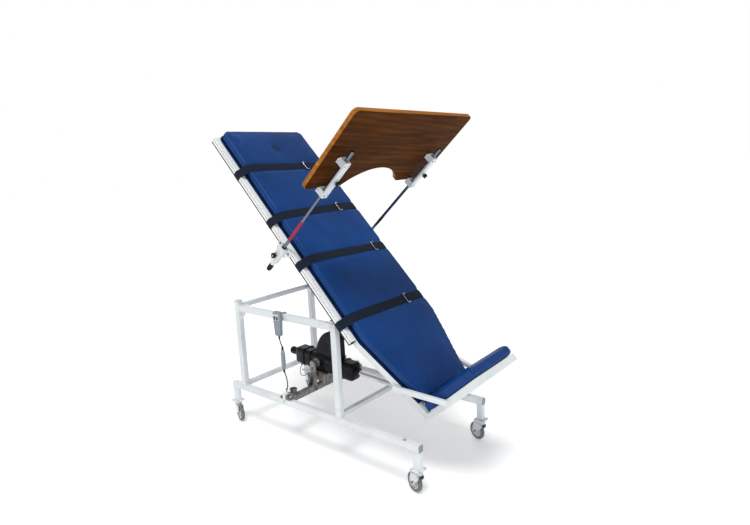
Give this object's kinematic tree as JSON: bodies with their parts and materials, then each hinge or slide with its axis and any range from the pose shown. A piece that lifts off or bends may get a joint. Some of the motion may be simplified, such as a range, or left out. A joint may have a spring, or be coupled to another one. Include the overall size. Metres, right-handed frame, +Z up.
{
  "type": "tilt table",
  "caption": "Motorised tilt table: a padded bed on a wheeled base that raises a strapped user to standing, with a foot board and an activity board.",
  "frame": {"origin": "on the floor, under the middle of the bounding box, without the hand control's cord", "axes": "+X towards the foot board, +Y to the left of a user lying on the bed face up with the feet at +X, +Z up"},
  "size_m": [1.6546, 0.99, 1.8087],
  "materials": {
    "white_paint": "gloss powder coat",
    "blue_vinyl": "grained upholstery vinyl, satin",
    "black_webbing": "woven webbing",
    "bright_steel": "zinc plated",
    "cast_metal": "cast, oiled",
    "varnished_wood": "varnished",
    "black_plastic": "moulded, satin",
    "rubber": "matt",
    "grey_plastic": "moulded, satin",
    "grey_tyre": "matt rubber"
  },
  "bodies": {
    "base": {"base_rail_left": "white_paint", "base_rail_right": "white_paint", "head_upright_left": "white_paint", "head_upright_right": "white_paint", "foot_upright_left": "white_paint", "foot_upright_right": "white_paint", "top_rail_left": "white_paint", "top_rail_right": "white_paint", "upright_cap_left": "rubber", "upright_cap_right": "rubber", "head_low_cross_tube": "white_paint", "head_top_cross_tube": "white_paint", "foot_low_cross_tube": "white_paint", "drive_beam": "cast_metal", "handset": "grey_plastic", "cord_connector": "grey_plastic", "handset_cord": "black_plastic"},
    "bed": {"side_rail_left": "white_paint", "side_rail_right": "white_paint", "bed_head_cross_tube": "white_paint", "pivot_shaft": "bright_steel", "bed_board": "varnished_wood", "bed_pad": "blue_vinyl", "foot_frame": "white_paint", "foot_pad": "blue_vinyl", "drive_cross_tube": "white_paint", "strap_1": "black_webbing", "strap_2": "black_webbing", "strap_3": "black_webbing", "strap_4": "black_webbing", "post_socket_left": "white_paint", "post_socket_right": "white_paint"},
    "drive": {"drive_housing": "black_plastic", "motor_cover": "black_plastic", "drive_gearbox": "cast_metal", "motor_lead": "black_plastic"},
    "push_rod": {"push_rod": "bright_steel"},
    "posts": {"post_left": "bright_steel", "post_right": "bright_steel"},
    "board": {"activity_board": "varnished_wood", "board_bracket_left": "white_paint", "board_bracket_right": "white_paint"},
    "button_up": {"button_up": "black_plastic"},
    "button_down": {"button_down": "black_plastic"},
    "buckle_1": {"buckle_1": "bright_steel"},
    "buckle_2": {"buckle_2": "bright_steel"},
    "buckle_3": {"buckle_3": "bright_steel"},
    "buckle_4": {"buckle_4": "bright_steel"},
    "socket_knob_left": {"socket_knob_left": "black_plastic"},
    "bracket_knob_left": {"bracket_knob_left": "black_plastic"},
    "socket_knob_right": {"socket_knob_right": "black_plastic"},
    "bracket_knob_right": {"bracket_knob_right": "black_plastic"},
    "swivel_head_left": {"caster_fork_head_left": "bright_steel"},
    "wheel_head_left": {"caster_wheel_head_left": "grey_tyre"},
    "swivel_head_right": {"caster_fork_head_right": "bright_steel"},
    "wheel_head_right": {"caster_wheel_head_right": "grey_tyre"},
    "swivel_foot_left": {"caster_fork_foot_left": "bright_steel"},
    "wheel_foot_left": {"caster_wheel_foot_left": "grey_tyre"},
    "swivel_foot_right": {"caster_fork_foot_right": "bright_steel"},
    "wheel_foot_right": {"caster_wheel_foot_right": "grey_tyre"}
  },
  "joints": [
    {"name": "bed_tilt", "type": "hinge", "parent": "base", "child": "bed", "pos_m": [0.0807, 0, 0.757], "axis": [0, 1, 0], "range_deg": [-47.5, 30]},
    {"name": "drive_swing", "type": "hinge", "parent": "base", "child": "drive", "pos_m": [-0.3293, 0, 0.39], "axis": [0, 1, 0], "range_deg": [-23.75, 15]},
    {"name": "rod_swing", "type": "hinge", "parent": "bed", "child": "push_rod", "pos_m": [0.43746, 0, 0.33806], "axis": [0, 1, 0], "range_deg": [-15, 23.75]},
    {"name": "posts_slide", "type": "slide", "parent": "bed", "child": "posts", "axis": [0.7373, 0, 0.6756], "range_m": [-0.14, 0]},
    {"name": "board_slide", "type": "slide", "parent": "posts", "child": "board", "axis": [0.7373, 0, 0.6756], "range_m": [-0.18, 0.05]},
    {"name": "buckle_1_slide", "type": "slide", "parent": "bed", "child": "buckle_1", "axis": [0, 1, 0], "range_m": [-0.12, 0.06]},
    {"name": "buckle_2_slide", "type": "slide", "parent": "bed", "child": "buckle_2", "axis": [0, 1, 0], "range_m": [-0.12, 0.06]},
    {"name": "buckle_3_slide", "type": "slide", "parent": "bed", "child": "buckle_3", "axis": [0, 1, 0], "range_m": [-0.12, 0.06]},
    {"name": "buckle_4_slide", "type": "slide", "parent": "bed", "child": "buckle_4", "axis": [0, 1, 0], "range_m": [-0.12, 0.06]},
    {"name": "socket_knob_left_turn", "type": "hinge", "parent": "bed", "child": "socket_knob_left", "pos_m": [-0.23283, 0.3945, 1.11396], "axis": [0, 1, 0], "range_deg": [-180, 180]},
    {"name": "bracket_knob_left_turn", "type": "hinge", "parent": "board", "child": "bracket_knob_left", "pos_m": [0.20381, 0.372, 1.48559], "axis": [0.6756, 0, -0.7373], "range_deg": [-180, 180]},
    {"name": "socket_knob_right_turn", "type": "hinge", "parent": "bed", "child": "socket_knob_right", "pos_m": [-0.23283, -0.3945, 1.11396], "axis": [0, -1, 0], "range_deg": [-180, 180]},
    {"name": "bracket_knob_right_turn", "type": "hinge", "parent": "board", "child": "bracket_knob_right", "pos_m": [0.20381, -0.372, 1.48559], "axis": [0.6756, 0, -0.7373], "range_deg": [-180, 180]},
    {"name": "swivel_head_left_turn", "type": "hinge", "parent": "base", "child": "swivel_head_left", "pos_m": [-0.7963, 0.313, 0.11], "axis": [0, 0, 1], "continuous": true},
    {"name": "wheel_head_left_roll", "type": "hinge", "parent": "swivel_head_left", "child": "wheel_head_left", "pos_m": [-0.76811, 0.30274, 0.05], "axis": [0.342, 0.9397, 0], "continuous": true},
    {"name": "swivel_head_right_turn", "type": "hinge", "parent": "base", "child": "swivel_head_right", "pos_m": [-0.7963, -0.313, 0.11], "axis": [0, 0, 1], "continuous": true},
    {"name": "wheel_head_right_roll", "type": "hinge", "parent": "swivel_head_right", "child": "wheel_head_right", "pos_m": [-0.76811, -0.32326, 0.05], "axis": [0.342, 0.9397, 0], "continuous": true},
    {"name": "swivel_foot_left_turn", "type": "hinge", "parent": "base", "child": "swivel_foot_left", "pos_m": [0.5627, 0.313, 0.11], "axis": [0, 0, 1], "continuous": true},
    {"name": "wheel_foot_left_roll", "type": "hinge", "parent": "swivel_foot_left", "child": "wheel_foot_left", "pos_m": [0.53451, 0.32326, 0.05], "axis": [0.342, 0.9397, 0], "continuous": true},
    {"name": "swivel_foot_right_turn", "type": "hinge", "parent": "base", "child": "swivel_foot_right", "pos_m": [0.5627, -0.313, 0.11], "axis": [0, 0, 1], "continuous": true},
    {"name": "wheel_foot_right_roll", "type": "hinge", "parent": "swivel_foot_right", "child": "wheel_foot_right", "pos_m": [0.53451, -0.30274, 0.05], "axis": [0.342, 0.9397, 0], "continuous": true},
    {"name": "button_up_press", "type": "slide", "parent": "base", "child": "button_up", "axis": [0, 1, 0], "range_m": [0, 0.0018], "stiffness_N_per_m": 900, "springref_m": -0.0015},
    {"name": "button_down_press", "type": "slide", "parent": "base", "child": "button_down", "axis": [0, 1, 0], "range_m": [0, 0.0018], "stiffness_N_per_m": 900, "springref_m": -0.0015}
  ],
  "couplings": [
    {"joint": "drive_swing", "follows": "bed_tilt", "ratio": 0.5},
    {"joint": "rod_swing", "follows": "bed_tilt", "ratio": -0.5}
  ]
}
